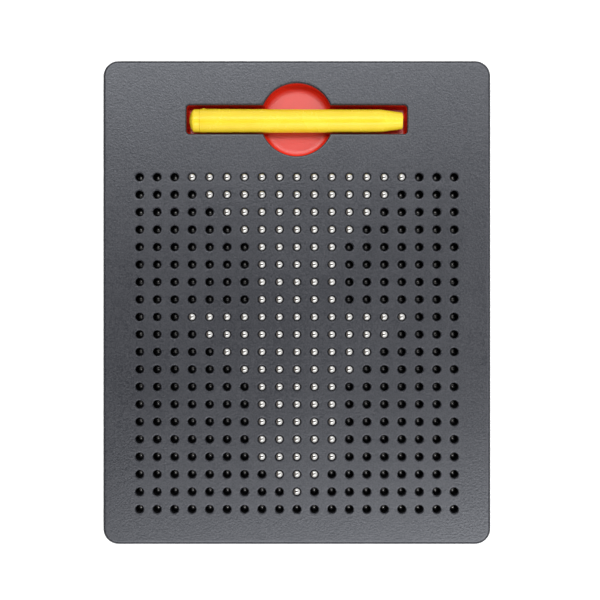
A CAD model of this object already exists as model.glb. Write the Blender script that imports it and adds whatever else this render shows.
"""Looks of the magnetic ball drawing board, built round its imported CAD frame.

Metres: X runs across the board, Y up it towards the stylus tray, Z out of the drawing face. The well
grid, the screws and the magnet stay the CAD's own nodes. Every other piece is made here in mesh code.
"""

import math

import bmesh
import bpy
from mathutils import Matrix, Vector
from mathutils.geometry import delaunay_2d_cdt


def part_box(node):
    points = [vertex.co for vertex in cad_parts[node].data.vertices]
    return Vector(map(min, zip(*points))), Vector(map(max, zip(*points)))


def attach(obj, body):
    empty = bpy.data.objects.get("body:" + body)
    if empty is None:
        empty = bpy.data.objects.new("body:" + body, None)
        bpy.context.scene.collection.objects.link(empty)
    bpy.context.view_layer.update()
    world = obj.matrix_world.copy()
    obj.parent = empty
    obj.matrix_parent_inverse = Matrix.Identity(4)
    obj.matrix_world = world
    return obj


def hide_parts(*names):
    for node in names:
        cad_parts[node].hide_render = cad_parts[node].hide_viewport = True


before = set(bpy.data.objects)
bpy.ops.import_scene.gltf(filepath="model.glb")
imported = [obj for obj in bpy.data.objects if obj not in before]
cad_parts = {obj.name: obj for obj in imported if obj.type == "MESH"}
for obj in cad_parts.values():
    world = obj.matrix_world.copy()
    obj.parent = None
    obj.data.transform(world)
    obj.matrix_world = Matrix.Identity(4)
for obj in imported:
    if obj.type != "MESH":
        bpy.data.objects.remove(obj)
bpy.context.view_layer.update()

MM = 0.001

# ---------------------------------------------------------------- sizes

cover_low, cover_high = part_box("top_cover")
tray_low, tray_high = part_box("pen_tray")
barrel_low, barrel_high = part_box("stylus_barrel")
plug_low, plug_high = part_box("stylus_plug")
magnet_low, magnet_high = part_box("stylus_magnet")
screws_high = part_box("back_cover_screws")[1]

# Case
BOARD_W = cover_high.x - cover_low.x
BOARD_L = cover_high.y - cover_low.y
FACE_Z = cover_high.z
SKIRT_Z = cover_low.z
SKIN_Z = FACE_Z - 2.4 * MM
CORNER_R = 8.4 * MM
EDGE_R = 1.8 * MM
WALL_T = 2.2 * MM
EDGE_BREAK = 0.2 * MM
# Flat ring kept beside a curved edge, so that the level face next to it is shaded flat
GUARD = 0.6 * MM

# Back cover
PARTING_Z = SKIRT_Z - 0.3 * MM
BACK_FLOOR_Z = 2.0 * MM
BACK_EDGE_R = 1.4 * MM
LIP_INSET = WALL_T + 0.1 * MM
LIP_T = 1.2 * MM
LIP_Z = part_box("back_cover")[1].z
PAD_R = 4.7 * MM
PAD_Z = SKIRT_Z - 0.1 * MM
COUNTERBORE_R = 3.2 * MM
SCREW_SEAT_Z = 2.6 * MM
CLEARANCE_R = 1.65 * MM

# Screw bosses and locating pins behind the drawing face
SCREW_HEAD_R = 2.8 * MM
BOSS_R = 3.5 * MM
BOSS_FOOT_Z = PAD_Z + 0.1 * MM
PILOT_R = 1.45 * MM
PILOT_TOP_Z = 10.2 * MM
INNER_BOSS_X = 48 * MM
PIN_R = 1.1 * MM
PIN_FOOT_Z = SKIN_Z - 2.6 * MM
PIN_HOLE_R = 1.25 * MM

# Lips of the wells
MOUTH_R = 2.6 * MM
LIP_R = 2.2 * MM
LIP_TOP_Z = FACE_Z - 0.4 * MM
LIP_FOOT_Z = FACE_Z - 0.51 * MM
BORE_R = 2.6 * MM
SHOULDER_Z = LIP_FOOT_Z - (BORE_R - LIP_R)

# Stylus tray
TRAY_Y = (tray_low.y + tray_high.y) / 2
TRAY_UNDER_Z = tray_low.z
TRAY_T = 1.5 * MM
TRAY_FLOOR_Z = TRAY_UNDER_Z + TRAY_T
FLANGE_W = 5.2 * MM
FLANGE_T = 1.4 * MM
FLANGE_TOP_Z = tray_high.z
SLOT_L = tray_high.x - tray_low.x - 2 * FLANGE_W
SLOT_W = 15.6 * MM
SLOT_R = 1.6 * MM
DISH_R = (tray_high.y - tray_low.y) / 2 - FLANGE_W
OPENING_GAP = 0.4 * MM
OPENING_ROUND = 2 * OPENING_GAP
TRAY_PIN_X = (30 * MM, SLOT_L / 2 - 6 * MM)
TRAY_PIN_OFFSET = SLOT_W / 2 + TRAY_T + 1.7 * MM

# Stylus, which lies along X
AXIS_Y = (barrel_low.y + barrel_high.y) / 2
AXIS_Z = (barrel_low.z + barrel_high.z) / 2
STYLUS_R = (barrel_high.z - barrel_low.z) / 2
SEAM_X = barrel_low.x
GATE_H = 0.4 * MM
GATE_R = 1.3 * MM
GATE_OFFSET = 1.9 * MM
TIP_X = barrel_high.x - GATE_H
TIP_R = 4.0 * MM
TIP_EDGE = 0.6 * MM
NECK_R = 6.15 * MM
NOSE_L = 13.4 * MM
NOSE_X = TIP_X - NOSE_L
BARREL_BORE_R = 4.75 * MM
MAGNET_POCKET_R = (magnet_high.z - magnet_low.z) / 2 + 0.05 * MM
PLUG_END_X = plug_low.x
PLUG_R = (plug_high.z - plug_low.z) / 2
SPIGOT_R = 4.7 * MM
SPIGOT_BORE_R = 3.0 * MM
DOME_H = 2.3 * MM
LATCH_X = SEAM_X + 1.9 * MM
LATCH_R = 1.1 * MM
LATCH_WINDOW_R = 1.25 * MM
LATCH_TOP_Y = plug_high.y


def mirrored(x, y):
    """The four places that lie x and y from the middle of the board."""
    return [(side * x, end * y) for side in (-1, 1) for end in (-1, 1)]


BOSS_X = screws_high.x - SCREW_HEAD_R
BOSS_Y = screws_high.y - SCREW_HEAD_R
BOSSES = mirrored(BOSS_X, BOSS_Y) + mirrored(INNER_BOSS_X, BOSS_Y) + [(-BOSS_X, 0), (BOSS_X, 0)]
TRAY_PINS = [(x, TRAY_Y + y) for pin_x in TRAY_PIN_X for x, y in mirrored(pin_x, TRAY_PIN_OFFSET)]


def ball_layout():
    """{node: the centres of its balls}, the radius of a ball and the pitch, from the rows' boxes."""
    boxes = {name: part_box(name) for name in sorted(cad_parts) if "balls_row" in name}
    low, high = boxes["raised_balls_row_19"]
    radius = (high.z - low.z) / 2
    middle = {name: (low + high) / 2 for name, (low, high) in boxes.items()}
    pitch = middle["resting_balls_row_19"].y - middle["resting_balls_row_20"].y
    reach = {
        name: round(((high.x - low.x) / 2 - radius) / pitch)
        for name, (low, high) in boxes.items()
    }
    centres = {}
    for name, at in middle.items():
        inner = reach.get(name.replace("resting", "raised"), -1) if "resting" in name else -1
        columns = range(-reach[name], reach[name] + 1)
        centres[name] = [(i * pitch, at.y, at.z) for i in columns if abs(i) > inner]
    return centres, radius, pitch


BALLS, BALL_R, PITCH = ball_layout()
WELLS = sorted({(round(x, 6), round(y, 6)) for row in BALLS.values() for x, y, z in row})
GRID_PIN_X = max(x for x, y in WELLS) - PITCH / 2
GRID_PIN_YS = (max(y for x, y in WELLS) - PITCH / 2, min(y for x, y in WELLS) + PITCH / 2)
GRID_PINS = [(side * GRID_PIN_X, y) for side in (-1, 1) for y in GRID_PIN_YS]

# ---------------------------------------------------------------- outlines


def circle(centre, radius, z, count):
    """Points of a level circle."""
    x, y = centre
    step = 2 * math.pi / count
    return [(x + radius * math.cos(i * step), y + radius * math.sin(i * step), z) for i in range(count)]


def arc(centre, radius, start, end, count):
    """Points of an arc with both its ends, angles in radians."""
    x, y = centre
    angles = [start + (end - start) * i / count for i in range(count + 1)]
    return [(x + radius * math.cos(a), y + radius * math.sin(a)) for a in angles]


def board_loop(inset, z, count=14):
    """Outline of the board, drawn in by an inset."""
    radius = CORNER_R - inset
    x, y = BOARD_W / 2 - CORNER_R, BOARD_L / 2 - CORNER_R
    points = []
    for turn, corner in enumerate(((x, y), (-x, y), (-x, -y), (x, -y))):
        points += arc(corner, radius, turn * math.pi / 2, (turn + 1) * math.pi / 2, count)
    return [(px, py, z) for px, py in points]


def tray_loop(margin, z, dish_extra=0, count=8, dish_count=40):
    """Outline of the stylus slot and finger dish, grown by a margin, and the dish by an extra one."""
    least_radius = 0.1 * MM
    half_l, half_w = SLOT_L / 2 + margin, SLOT_W / 2 + margin
    radius, dish = max(SLOT_R + margin, least_radius), DISH_R + margin + dish_extra
    join = math.asin(half_w / dish)
    x, y = half_l - radius, half_w - radius
    quarter = math.pi / 2
    points = arc((x, y), radius, 0, quarter, count)
    points += arc((0, 0), dish, join, math.pi - join, dish_count)
    points += arc((-x, y), radius, quarter, 2 * quarter, count)
    points += arc((-x, -y), radius, 2 * quarter, 3 * quarter, count)
    points += arc((0, 0), dish, math.pi + join, 2 * math.pi - join, dish_count)
    points += arc((x, -y), radius, 3 * quarter, 4 * quarter, count)
    return [(px, py + TRAY_Y, z) for px, py in points]


def rounding(radius, steps):
    """(inset, drop) pairs down a quarter round, from its flat face to its side."""
    angles = [math.pi / 2 * i / steps for i in range(steps + 1)]
    return [(radius * (1 - math.sin(a)), radius * (1 - math.cos(a))) for a in angles]


def inside(point, outline):
    """True if a flat point is inside a closed outline."""
    x, y = point
    found = False
    for (x0, y0), (x1, y1) in zip(outline, outline[1:] + outline[:1]):
        if (y0 > y) != (y1 > y) and x < x0 + (y - y0) / (y1 - y0) * (x1 - x0):
            found = not found
    return found


# ---------------------------------------------------------------- closed surfaces


SHARP_DEG = 40
CASE_SHARP_DEG = 50


class Shell:
    """A closed surface, put together from rings of points and the faces between them."""

    def __init__(self):
        self.points = []
        self.faces = []

    def ring(self, points):
        """Adds a closed loop of points and returns their numbers."""
        first = len(self.points)
        self.points += points
        return list(range(first, first + len(points)))

    def bridge(self, one, other):
        """Faces between two rings of the same count, or between a ring and a single point."""
        count = max(len(one), len(other))
        for i in range(count):
            j = (i + 1) % count
            corners = [one[i % len(one)], one[j % len(one)], other[j % len(other)], other[i % len(other)]]
            self.faces.append(tuple(dict.fromkeys(corners)))

    def stack(self, *loops):
        """Makes a ring of each loop and joins each to the next. Returns the first and the last."""
        rings = [self.ring(loop) for loop in loops]
        for one, other in zip(rings, rings[1:]):
            self.bridge(one, other)
        return rings[0], rings[-1]

    def fill(self, outer, holes=()):
        """Level face between an outer ring and the rings of its holes."""
        same_point = 1e-9
        loops = [outer, *holes]
        index = [i for loop in loops for i in loop]
        owner = [k for k, loop in enumerate(loops) for _ in loop]
        flat = [Vector(self.points[i][:2]) for i in index]
        edges, first = [], 0
        for loop in loops:
            edges += [(first + i, first + (i + 1) % len(loop)) for i in range(len(loop))]
            first += len(loop)
        outlines = [[tuple(self.points[i][:2]) for i in loop] for loop in loops]
        places, _, triangles, origin, _, _ = delaunay_2d_cdt(flat, edges, [], 0, same_point)
        for triangle in triangles:
            corners = [origin[v][0] for v in triangle]
            owners = {owner[i] for i in corners}
            if len(owners) == 1:
                k = owners.pop()
                centre = sum((places[v] for v in triangle), Vector((0, 0))) / 3
                if inside(centre, outlines[k]) != (k == 0):
                    continue
            self.faces.append(tuple(index[i] for i in corners))

    def lathe(self, profile, count, place):
        """Turned surface. Each point of the profile is (distance along the axis, radius), and place
        gives the point that lies at a distance along and two offsets from the axis."""
        loops = []
        for along, radius in profile:
            turns = [2 * math.pi * i / count for i in range(count if radius > 0 else 1)]
            loops.append([place(along, radius * math.cos(a), radius * math.sin(a)) for a in turns])
        self.stack(*loops)

    def piece(self, name, sharp_deg=SHARP_DEG):
        """Makes an object of the surface, with its faces turned outwards."""
        mesh = bpy.data.meshes.new(name)
        mesh.from_pydata(self.points, [], self.faces)
        tidy = bmesh.new()
        tidy.from_mesh(mesh)
        bmesh.ops.recalc_face_normals(tidy, faces=tidy.faces)
        tidy.to_mesh(mesh)
        tidy.free()
        smooth(mesh, sharp_deg)
        piece = bpy.data.objects.new(name, mesh)
        bpy.context.scene.collection.objects.link(piece)
        return piece


def smooth(mesh, sharp_deg=SHARP_DEG):
    """Shades a mesh smooth, apart from edges that turn by more than an angle."""
    mesh.shade_smooth()
    mesh.set_sharp_from_angle(angle=math.radians(sharp_deg))


def combine(target, tool, operation):
    """Joins or cuts target with tool for good, and removes tool."""
    modifier = target.modifiers.new(operation, "BOOLEAN")
    modifier.object = tool
    modifier.operation = operation
    modifier.solver = "EXACT"
    bpy.context.view_layer.update()
    graph = bpy.context.evaluated_depsgraph_get()
    result = bpy.data.meshes.new_from_object(target.evaluated_get(graph))
    target.modifiers.clear()
    target.data = result
    bpy.data.objects.remove(tool)


def install(piece, material, slot, body, *nodes):
    """Gives a piece its material, its slot, its body and the CAD nodes that it stands for."""
    piece.data.materials.clear()
    piece.data.materials.append(material)
    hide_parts(*nodes)
    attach(piece, body)
    return piece


# ---------------------------------------------------------------- materials


def new_material(name):
    material = bpy.data.materials.new(name)
    material.use_nodes = True
    return material


def texture(material, kind, scale, **settings):
    """A texture node fed with the object's own coordinates, so that it stays put on the piece."""
    nodes, links = material.node_tree.nodes, material.node_tree.links
    place = nodes.new("ShaderNodeTexCoord")
    made = nodes.new(kind)
    links.new(place.outputs["Object"], made.inputs["Vector"])
    made.inputs["Scale"].default_value = scale
    for name, value in settings.items():
        made.inputs[name].default_value = value
    return made


def supply(material, socket, value):
    """Sets a socket to a plain number, or links it to the output that gives one."""
    if isinstance(value, bpy.types.NodeSocket):
        material.node_tree.links.new(value, socket)
    else:
        socket.default_value = value


def between(material, source, low, high, start=0.3, end=0.7):
    """A number that runs from low to high as the source runs from start to end."""
    made = material.node_tree.nodes.new("ShaderNodeMapRange")
    made.inputs["From Min"].default_value = start
    made.inputs["From Max"].default_value = end
    made.inputs["To Min"].default_value = low
    supply(material, made.inputs["To Max"], high)
    material.node_tree.links.new(source, made.inputs["Value"])
    return made.outputs["Result"]


def mottle(material, source, one, other, start=0.3, end=0.7):
    """A colour that runs from one to other as the source runs from start to end."""
    ramp = material.node_tree.nodes.new("ShaderNodeValToRGB")
    ramp.color_ramp.elements[0].position = start
    ramp.color_ramp.elements[0].color = (*one, 1)
    ramp.color_ramp.elements[1].position = end
    ramp.color_ramp.elements[1].color = (*other, 1)
    material.node_tree.links.new(source, ramp.inputs["Fac"])
    return ramp.outputs["Color"]


def relief(material, source, depth, strength, below=None):
    """Bump of a given depth in metres, laid over another bump if there is one."""
    bump = material.node_tree.nodes.new("ShaderNodeBump")
    bump.inputs["Distance"].default_value = depth
    supply(material, bump.inputs["Strength"], strength)
    material.node_tree.links.new(source, bump.inputs["Height"])
    if below:
        material.node_tree.links.new(below, bump.inputs["Normal"])
    return bump.outputs["Normal"]


def dress(material, color, roughness, normal, **sockets):
    """Connects a Principled shader's varied inputs and sets its plain ones on their own sockets."""
    shader = material.node_tree.nodes["Principled BSDF"]
    links = material.node_tree.links
    links.new(color, shader.inputs["Base Color"])
    links.new(roughness, shader.inputs["Roughness"])
    links.new(normal, shader.inputs["Normal"])
    for name, value in sockets.items():
        supply(material, shader.inputs[name], value)
    return material


def flatness(material):
    """1 on a face that lies square to the board's thickness, less on any slope."""
    nodes, links = material.node_tree.nodes, material.node_tree.links
    surface = nodes.new("ShaderNodeNewGeometry")
    axes = nodes.new("ShaderNodeSeparateXYZ")
    size = nodes.new("ShaderNodeMath")
    size.operation = "ABSOLUTE"
    links.new(surface.outputs["True Normal"], axes.inputs["Vector"])
    links.new(axes.outputs["Z"], size.inputs["Value"])
    return size.outputs["Value"]


def grained_plastic(name, dark, light):
    """Moulded plastic: flats with the fine pits of a spark-eroded mould, slopes left smooth."""
    material = new_material(name)
    pits = texture(material, "ShaderNodeTexVoronoi", 900, Randomness=1.0)
    grain = texture(material, "ShaderNodeTexNoise", 1250, Detail=2.0, Roughness=0.5)
    cloud = texture(material, "ShaderNodeTexNoise", 35, Detail=3.0, Roughness=0.5)
    by_slope = {"source": flatness(material), "start": 0.95, "end": 0.99}
    pit_strength = between(material, low=0.0, high=0.4, **by_slope)
    grain_strength = between(material, low=0.0, high=0.45, **by_slope)
    under = relief(material, pits.outputs["Distance"], 0.1 * MM, pit_strength)
    normal = relief(material, grain.outputs["Fac"], 0.16 * MM, grain_strength, below=under)
    color = mottle(material, grain.outputs["Fac"], dark, light)
    flat_roughness = between(material, cloud.outputs["Fac"], low=0.28, high=0.34)
    roughness = between(material, low=0.15, high=flat_roughness, **by_slope)
    sheen = between(material, low=0.25, high=1.0, **by_slope)
    cool_white = (0.90, 0.93, 1.0, 1.0)
    return dress(
        material, color, roughness, normal, IOR=1.6,
        **{"Specular IOR Level": sheen, "Specular Tint": cool_white},
    )


def satin_plastic(name, dark, light, slope_sheen):
    """Moulded plastic with a fine satin surface: full sheen on the flats, and its own on the slopes."""
    material = new_material(name)
    cloud = texture(material, "ShaderNodeTexNoise", 60, Detail=4.0, Roughness=0.55)
    fine = texture(material, "ShaderNodeTexNoise", 2400, Detail=2.0, Roughness=0.5)
    color = mottle(material, cloud.outputs["Fac"], dark, light)
    normal = relief(material, fine.outputs["Fac"], 0.03 * MM, 0.30)
    roughness = between(material, cloud.outputs["Fac"], low=0.27, high=0.33)
    sheen = between(material, flatness(material), low=slope_sheen, high=1.0, start=0.965, end=0.9995)
    return dress(material, color, roughness, normal, IOR=1.6, **{"Specular IOR Level": sheen})


def glossy_plastic(name, dark, light):
    """Polished plastic with a slight waviness and faint handling marks in its gloss."""
    material = new_material(name)
    cloud = texture(material, "ShaderNodeTexNoise", 90, Detail=5.0, Roughness=0.6)
    wave = texture(material, "ShaderNodeTexNoise", 420, Detail=1.0, Roughness=0.4)
    color = mottle(material, cloud.outputs["Fac"], dark, light)
    normal = relief(material, wave.outputs["Fac"], 0.04 * MM, 0.12)
    roughness = between(material, cloud.outputs["Fac"], low=0.20, high=0.30)
    return dress(material, color, roughness, normal)


def polished_steel(name, dark, light):
    """Bearing steel: mirror bright, with faint scuffs."""
    material = new_material(name)
    scuffs = texture(material, "ShaderNodeTexNoise", 900, Detail=6.0, Roughness=0.7, Distortion=1.5)
    color = mottle(material, scuffs.outputs["Fac"], dark, light)
    normal = relief(material, scuffs.outputs["Fac"], 0.006 * MM, 0.25)
    roughness = between(material, scuffs.outputs["Fac"], low=0.03, high=0.08)
    return dress(material, color, roughness, normal, Metallic=1.0)


def plated_metal(name, dark, light, least_roughness, most_roughness):
    """Plated steel with a cloudy, lightly brushed finish."""
    material = new_material(name)
    cloud = texture(material, "ShaderNodeTexNoise", 700, Detail=5.0, Roughness=0.65)
    brushed = texture(material, "ShaderNodeTexWave", 2600, Distortion=6.0, Detail=3.0)
    color = mottle(material, cloud.outputs["Fac"], dark, light)
    normal = relief(material, brushed.outputs["Fac"], 0.008 * MM, 0.25)
    roughness = between(material, cloud.outputs["Fac"], low=least_roughness, high=most_roughness)
    return dress(material, color, roughness, normal, Metallic=1.0)


GREY = grained_plastic("grey_shell", dark=(0.007, 0.008, 0.012), light=(0.043, 0.044, 0.050))
BLACK = satin_plastic(
    "black_grid", dark=(0.013, 0.014, 0.017), light=(0.019, 0.020, 0.023), slope_sheen=0.15
)
RED = satin_plastic(
    "red_tray", dark=(0.57, 0.023, 0.009), light=(0.64, 0.029, 0.013), slope_sheen=0.0
)
YELLOW = glossy_plastic("yellow_stylus", dark=(0.66, 0.48, 0.018), light=(0.72, 0.53, 0.025))
STEEL = polished_steel("steel_ball", dark=(0.66, 0.65, 0.63), light=(0.76, 0.75, 0.73))
ZINC = plated_metal(
    "zinc_screw", dark=(0.50, 0.50, 0.52), light=(0.64, 0.64, 0.65),
    least_roughness=0.28, most_roughness=0.42,
)
NICKEL = plated_metal(
    "magnet_plating", dark=(0.60, 0.59, 0.57), light=(0.72, 0.71, 0.69),
    least_roughness=0.14, most_roughness=0.26,
)

# ---------------------------------------------------------------- case

MOUTH_COUNT = 28
BOSS_COUNT = 24
PIN_COUNT = 16


def well_lip(shell, place):
    """Mouth, lip and socket of one well through the drawing face. Returns its top and rear rings."""
    guard = 0.4 * MM
    flare = 0.05 * MM
    soft = 0.06 * MM
    drop = 0.04 * MM
    sections = (
        (MOUTH_R + guard, FACE_Z),
        (MOUTH_R + flare, FACE_Z),
        (MOUTH_R - soft, FACE_Z - drop),
        (LIP_R + soft, LIP_TOP_Z + soft),
        (LIP_R, LIP_TOP_Z - drop),
        (LIP_R, LIP_FOOT_Z),
        (BORE_R, SHOULDER_Z),
        (BORE_R, SKIN_Z),
    )
    return shell.stack(*(circle(place, radius, z, MOUTH_COUNT) for radius, z in sections))


def boss(shell, place):
    """Screw boss behind the drawing face, with its pilot hole. Returns its ring on the rear."""
    root, foot = shell.stack(
        circle(place, BOSS_R, SKIN_Z, BOSS_COUNT),
        circle(place, BOSS_R, BOSS_FOOT_Z + EDGE_BREAK, BOSS_COUNT),
        circle(place, BOSS_R - EDGE_BREAK, BOSS_FOOT_Z, BOSS_COUNT),
        circle(place, PILOT_R, BOSS_FOOT_Z, BOSS_COUNT),
        circle(place, PILOT_R, PILOT_TOP_Z, BOSS_COUNT),
    )
    shell.fill(foot)
    return root


def pin(shell, place):
    """Locating pin behind the drawing face. Returns its ring on the rear."""
    root, foot = shell.stack(
        circle(place, PIN_R, SKIN_Z, PIN_COUNT),
        circle(place, PIN_R, PIN_FOOT_Z + EDGE_BREAK, PIN_COUNT),
        circle(place, PIN_R - EDGE_BREAK, PIN_FOOT_Z, PIN_COUNT),
    )
    shell.fill(foot)
    return root


def make_top_cover():
    """Case front: drawing face, side wall, lips of the wells, tray opening, bosses and pins."""
    shell = Shell()
    edge = [board_loop(inset, FACE_Z - drop) for inset, drop in rounding(EDGE_R, steps=8)]
    face_outer, rear_outer = shell.stack(
        board_loop(EDGE_R + GUARD, FACE_Z),
        *edge,
        board_loop(0, SKIRT_Z + EDGE_BREAK),
        board_loop(EDGE_BREAK, SKIRT_Z),
        board_loop(WALL_T - EDGE_BREAK, SKIRT_Z),
        board_loop(WALL_T, SKIRT_Z + EDGE_BREAK),
        board_loop(WALL_T, SKIN_Z),
    )
    lips = [well_lip(shell, place) for place in WELLS]
    rim = [tray_loop(inset, FACE_Z - drop) for inset, drop in rounding(OPENING_ROUND, steps=6)]
    opening = shell.stack(
        tray_loop(OPENING_ROUND + GUARD, FACE_Z),
        *rim,
        tray_loop(0, SKIN_Z),
    )
    holes = [*lips, opening]
    roots = [boss(shell, place) for place in BOSSES]
    roots += [pin(shell, place) for place in TRAY_PINS + GRID_PINS]
    shell.fill(face_outer, [face for face, rear in holes])
    shell.fill(rear_outer, [rear for face, rear in holes] + roots)
    return install(shell.piece("case_front", CASE_SHARP_DEG), GREY, "grey_shell", "case", "top_cover")


def screw_seat(shell, place):
    """Counterbore, clearance hole and pad of one screw. Returns its rings on the back and inside."""
    return shell.stack(
        circle(place, COUNTERBORE_R + EDGE_BREAK + GUARD, 0, BOSS_COUNT),
        circle(place, COUNTERBORE_R + EDGE_BREAK, 0, BOSS_COUNT),
        circle(place, COUNTERBORE_R, EDGE_BREAK, BOSS_COUNT),
        circle(place, COUNTERBORE_R, SCREW_SEAT_Z, BOSS_COUNT),
        circle(place, CLEARANCE_R, SCREW_SEAT_Z, BOSS_COUNT),
        circle(place, CLEARANCE_R, PAD_Z, BOSS_COUNT),
        circle(place, PAD_R - EDGE_BREAK, PAD_Z, BOSS_COUNT),
        circle(place, PAD_R, PAD_Z - EDGE_BREAK, BOSS_COUNT),
        circle(place, PAD_R, BACK_FLOOR_Z, BOSS_COUNT),
    )


def make_back_cover():
    """Case back: a shallow pan with a locating lip inside the side wall and a seat for each screw."""
    shell = Shell()
    edge = [board_loop(inset, drop) for inset, drop in rounding(BACK_EDGE_R, steps=6)]
    back_outer, floor_outer = shell.stack(
        board_loop(BACK_EDGE_R + GUARD, 0),
        *edge,
        board_loop(0, PARTING_Z - EDGE_BREAK),
        board_loop(EDGE_BREAK, PARTING_Z),
        board_loop(LIP_INSET, PARTING_Z),
        board_loop(LIP_INSET, LIP_Z - EDGE_BREAK),
        board_loop(LIP_INSET + EDGE_BREAK, LIP_Z),
        board_loop(LIP_INSET + LIP_T - EDGE_BREAK, LIP_Z),
        board_loop(LIP_INSET + LIP_T, LIP_Z - EDGE_BREAK),
        board_loop(LIP_INSET + LIP_T, BACK_FLOOR_Z),
    )
    seats = [screw_seat(shell, place) for place in BOSSES]
    shell.fill(back_outer, [back for back, floor in seats])
    shell.fill(floor_outer, [floor for back, floor in seats])
    return install(shell.piece("case_back", CASE_SHARP_DEG), GREY, "grey_shell", "case", "back_cover")


def make_tray():
    """Flat-bottomed pocket and its flange. A fillet round the floor is wider in the dish."""
    fillet = 1.5 * MM
    dish_sweep = 1.7
    shell = Shell()
    corner = [
        tray_loop(-inset, TRAY_FLOOR_Z + rise, -dish_sweep * inset)
        for inset, rise in rounding(fillet, steps=10)
    ]
    pocket_floor, flange_inner = shell.stack(
        tray_loop(-fillet - GUARD, TRAY_FLOOR_Z, -dish_sweep * fillet),
        *corner,
        tray_loop(0, FLANGE_TOP_Z),
    )
    under_edge = 0.6 * MM
    under_bend = 0.3 * under_edge
    under_floor, flange_under = shell.stack(
        tray_loop(TRAY_T - under_edge, TRAY_UNDER_Z),
        tray_loop(TRAY_T - under_bend, TRAY_UNDER_Z + under_bend),
        tray_loop(TRAY_T, TRAY_UNDER_Z + under_edge),
        tray_loop(TRAY_T, FLANGE_TOP_Z - FLANGE_T),
    )
    rim_under, rim_top = shell.stack(
        tray_loop(FLANGE_W, FLANGE_TOP_Z - FLANGE_T),
        tray_loop(FLANGE_W, FLANGE_TOP_Z),
    )
    holes = [
        shell.stack(
            circle(place, PIN_HOLE_R, FLANGE_TOP_Z, PIN_COUNT),
            circle(place, PIN_HOLE_R, FLANGE_TOP_Z - FLANGE_T, PIN_COUNT),
        )
        for place in TRAY_PINS
    ]
    shell.fill(pocket_floor)
    shell.fill(under_floor)
    shell.fill(rim_top, [flange_inner, *(top for top, under in holes)])
    shell.fill(rim_under, [flange_under, *(under for top, under in holes)])
    return install(shell.piece("stylus_tray", CASE_SHARP_DEG), RED, "red_tray", "case", "pen_tray")


# ---------------------------------------------------------------- stylus

TURN_COUNT = 96


def along_stylus(along, one, other):
    """Point at a distance along X, one offset towards +Y and the other towards +Z of the axis."""
    return (along, AXIS_Y + one, AXIS_Z + other)


def across_stylus(along, one, other):
    """Point at a height along +Y over the axis, at the latch."""
    return (LATCH_X + one, AXIS_Y + along, AXIS_Z + other)


def along_gate(along, one, other):
    """Point at a distance along X, with two offsets from the middle of the moulding gate."""
    return (along, AXIS_Y + GATE_OFFSET + one, AXIS_Z + other)


def nose_profile(steps):
    """Tapered nose, from the edge of its flat end back to the neck, where a soft shoulder starts it."""
    length, drop, shoulder = NOSE_L - TIP_EDGE, NECK_R - TIP_R - TIP_EDGE, 3 * MM
    slope = drop / (length - shoulder / 2)
    profile = []
    for i in range(steps + 1):
        s = length * (1 - i / steps)
        fall = slope * (s - shoulder / 2) if s > shoulder else slope * s**2 / (2 * shoulder)
        profile.append((NOSE_X + s, NECK_R - fall))
    return profile


def turned(name, profile, place, count=TURN_COUNT):
    """A piece with one turned surface."""
    shell = Shell()
    shell.lathe(profile, count, place)
    return shell.piece(name)


def make_barrel():
    """Hollow barrel, with the magnet's pocket, the latch's window and a gate mark on its flat end."""
    bore_end = NOSE_X - 2 * MM
    pocket_end = TIP_X - 1 * MM
    tip_edge = [(TIP_X - drop, TIP_R + TIP_EDGE - inset) for inset, drop in rounding(TIP_EDGE, steps=5)]
    seam_bends = ((0.12 * MM, 0), (0.04 * MM, 0.03 * MM), (0, 0.11 * MM))
    profile = [
        (TIP_X, 0),
        *tip_edge[:-1],
        *nose_profile(steps=20),
        *[(SEAM_X + along, STYLUS_R - inward) for along, inward in seam_bends],
        (SEAM_X, BARREL_BORE_R),
        (bore_end, BARREL_BORE_R),
        (bore_end, MAGNET_POCKET_R),
        (pocket_end, MAGNET_POCKET_R),
        (pocket_end, 0),
    ]
    barrel = turned("stylus_body", profile, along_stylus)
    low, high = 2 * MM, 8 * MM
    window = [(low, 0), (low, LATCH_WINDOW_R), (high, LATCH_WINDOW_R), (high, 0)]
    combine(barrel, turned("window", window, across_stylus, count=40), "DIFFERENCE")
    root, edge = TIP_X - 0.5 * MM, 0.4 * GATE_H
    gate = [
        (root, 0),
        (root, GATE_R),
        (TIP_X + GATE_H - edge, GATE_R),
        (TIP_X + GATE_H, GATE_R - edge),
        (TIP_X + GATE_H, 0),
    ]
    combine(barrel, turned("gate", gate, along_gate, count=32), "UNION")
    smooth(barrel.data)
    return install(barrel, YELLOW, "yellow_stylus", "stylus", "stylus_barrel")


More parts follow.
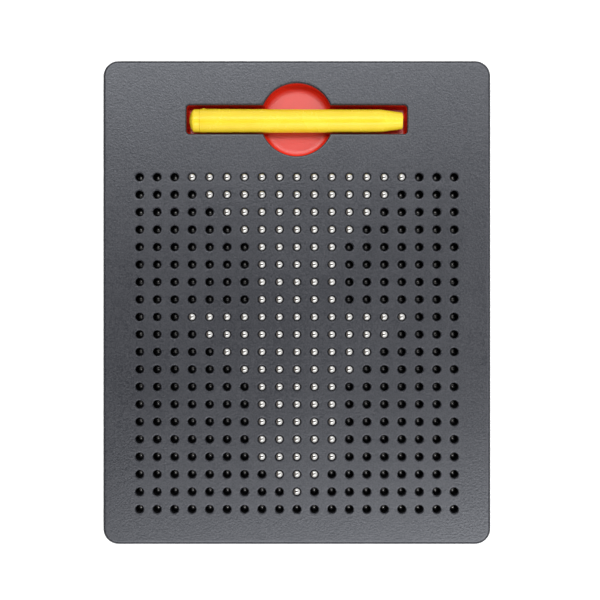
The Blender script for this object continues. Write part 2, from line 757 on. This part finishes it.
def make_plug():
    """Domed plug, its spigot inside the barrel, and the latch nub that stands in the window."""
    dome_r = (PLUG_R**2 + DOME_H**2) / (2 * DOME_H)
    dome_steps = 12
    dome_depth = 0.86 * DOME_H
    dome = []
    for i in range(dome_steps + 1):
        depth = dome_depth * (i / dome_steps) ** 2
        dome.append((PLUG_END_X + depth, math.sqrt(dome_r**2 - (dome_r - depth) ** 2)))
    rim_bends = ((0.97 * DOME_H, 0.17 * MM), (1.15 * DOME_H, 0.03 * MM), (1.35 * DOME_H, 0))
    seam_gap = 0.08 * MM
    shoulder_x = SEAM_X - seam_gap
    spigot_edge = 0.4 * MM
    profile = [
        *dome,
        *[(PLUG_END_X + along, PLUG_R - inward) for along, inward in rim_bends],
        (shoulder_x - seam_gap, PLUG_R),
        (shoulder_x, PLUG_R - seam_gap),
        (shoulder_x, SPIGOT_R),
        (plug_high.x - spigot_edge, SPIGOT_R),
        (plug_high.x, SPIGOT_R - spigot_edge),
        (plug_high.x, SPIGOT_BORE_R),
        (SEAM_X, SPIGOT_BORE_R),
        (SEAM_X, 0),
    ]
    plug = turned("stylus_end_plug", profile, along_stylus)
    root, top = SPIGOT_R - 0.8 * MM, LATCH_TOP_Y - AXIS_Y
    crown_bends = ((0.35 * MM, 0), (0.1 * MM, 0.2 * MM), (0, 0.55 * MM))
    latch = [
        (root, 0),
        (root, LATCH_R),
        *[(top - down, LATCH_R - inward) for down, inward in crown_bends],
        (top, 0),
    ]
    combine(plug, turned("latch", latch, across_stylus, count=32), "UNION")
    smooth(plug.data)
    return install(plug, YELLOW, "yellow_stylus", "stylus", "stylus_plug")


# ---------------------------------------------------------------- balls

BALL_AROUND = 32
BALL_RINGS = 16


def make_balls(node, centres):
    """The balls of one row that share a CAD node."""
    shell = Shell()
    steps = [math.pi * i / BALL_RINGS for i in range(BALL_RINGS + 1)]
    profile = [(-BALL_R * math.cos(a), BALL_R * math.sin(a)) for a in steps]
    profile[0] = (-BALL_R, 0)
    profile[-1] = (BALL_R, 0)
    for x, y, z in centres:
        shell.lathe(profile, BALL_AROUND, lambda up, one, other: (x + one, y + other, z + up))
    piece = shell.piece(node.replace("balls", "steel"), sharp_deg=180)
    return install(piece, STEEL, "steel_ball", node, node)


# ---------------------------------------------------------------- the object

make_top_cover()
make_back_cover()
make_tray()
make_barrel()
make_plug()
for row_node, row_centres in BALLS.items():
    make_balls(row_node, row_centres)

# These CAD nodes have the right shape already, and only get their material
for node_name, node_material in (
    ("well_grid", BLACK),
    ("back_cover_screws", ZINC),
    ("stylus_magnet", NICKEL),
):
    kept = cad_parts[node_name]
    kept.data.materials.clear()
    kept.data.materials.append(node_material)

# ---------------------------------------------------------------- floor, light and camera


def make_floor():
    """Plain white floor, just under the board's back."""
    side, drop = 6, 0.2 * MM
    bpy.ops.mesh.primitive_plane_add(size=side, location=(0, 0, -drop))
    floor = bpy.context.object
    floor.name = "floor"
    material = new_material("floor")
    shader = material.node_tree.nodes["Principled BSDF"]
    shader.inputs["Base Color"].default_value = (0.9, 0.9, 0.9, 1)
    shader.inputs["Roughness"].default_value = 0.8
    shader.inputs["Emission Color"].default_value = (1, 1, 1, 1)
    shader.inputs["Emission Strength"].default_value = 0.35
    floor.data.materials.append(material)


def aim(thing, away):
    """Turns a light to face back along the direction away from the board."""
    thing.rotation_mode = "QUATERNION"
    thing.rotation_quaternion = away.to_track_quat("Z", "Y")


def softbox(name, place, target, width, depth, power, in_gloss):
    """Rectangular soft light: place and target in millimetres, its own width and depth in metres.
    One that isn't seen in gloss lights the board without a highlight."""
    data = bpy.data.lights.new(name, "AREA")
    data.shape = "RECTANGLE"
    data.size = width
    data.size_y = depth
    data.energy = power
    light = bpy.data.objects.new(name, data)
    light.location = Vector(place) * MM
    aim(light, (Vector(place) - Vector(target)).normalized())
    light.visible_camera = False
    light.visible_glossy = in_gloss
    bpy.context.scene.collection.objects.link(light)


def dark_card(name, low, high, z):
    """Dark level panel over the board, from corner to corner in millimetres. It darkens what the board
    mirrors and the light that the tent gives, but casts no shadow of the lamps and isn't seen itself."""
    mesh = bpy.data.meshes.new(name)
    corners = [(low[0], low[1], z), (high[0], low[1], z), (high[0], high[1], z), (low[0], high[1], z)]
    mesh.from_pydata([Vector(corner) * MM for corner in corners], [], [(0, 1, 2, 3)])
    card = bpy.data.objects.new(name, mesh)
    material = new_material(name)
    shader = material.node_tree.nodes["Principled BSDF"]
    shader.inputs["Base Color"].default_value = (0.03, 0.028, 0.026, 1)
    shader.inputs["Roughness"].default_value = 1.0
    mesh.materials.append(material)
    card.visible_camera = False
    card.visible_shadow = False
    bpy.context.scene.collection.objects.link(card)


def make_tent(bright, dim, dim_from, dim_full):
    """Light tent all round. It is dim on the left, where a direction's X is past dim_full."""
    world = bpy.data.worlds.new("tent")
    bpy.context.scene.world = world
    world.use_nodes = True
    nodes, links = world.node_tree.nodes, world.node_tree.links
    place = nodes.new("ShaderNodeTexCoord")
    axes = nodes.new("ShaderNodeSeparateXYZ")
    side = nodes.new("ShaderNodeMapRange")
    side.inputs["From Min"].default_value = dim_from
    side.inputs["From Max"].default_value = dim_full
    mix = nodes.new("ShaderNodeMix")
    mix.data_type = "RGBA"
    mix.inputs["A"].default_value = (*bright, 1)
    mix.inputs["B"].default_value = (*dim, 1)
    links.new(place.outputs["Generated"], axes.inputs["Vector"])
    links.new(axes.outputs["X"], side.inputs["Value"])
    links.new(side.outputs["Result"], mix.inputs["Factor"])
    links.new(mix.outputs["Result"], nodes["Background"].inputs["Color"])


def make_camera():
    """Looks straight down at the drawing face, a little off the middle of the board."""
    data = bpy.data.cameras.new("camera")
    data.sensor_width = 36
    data.lens = 66.55
    camera = bpy.data.objects.new("camera", data)
    across, up_board, height = 1.7 * MM, 1.35 * MM, 600 * MM
    camera.location = (across, up_board, FACE_Z + height)
    bpy.context.scene.collection.objects.link(camera)
    bpy.context.scene.camera = camera


WIDE_LIGHTS = (
    ("key", (40, 340, 880), (0, 90, 10), 1.3, 0.14, 6.2),
    ("overhead", (0, 60, 1000), (0, 0, 10), 1.2, 1.0, 2),
    ("front_fill", (0, -1150, 620), (0, 60, 10), 1.6, 0.5, 8),
)
HIGHLIGHTS = (
    ("front_box", (120, -480, 760), (0, 0, 10), 0.8, 0.3, 1.6),
    ("back_box", (-60, 480, 760), (0, 0, 10), 0.8, 0.3, 1.4),
)

make_floor()
make_tent(bright=(0.85, 0.85, 0.85), dim=(0.22, 0.20, 0.18), dim_from=-0.50, dim_full=-0.62)
for lamp in WIDE_LIGHTS:
    softbox(*lamp, in_gloss=False)
for lamp in HIGHLIGHTS:
    softbox(*lamp, in_gloss=True)
dark_card("camera_body", low=(-240, -190), high=(310, 155), z=640)
dark_card("boom", low=(-1500, -230), high=(-240, 90), z=660)
make_camera()
bpy.context.scene.view_settings.view_transform = "Standard"
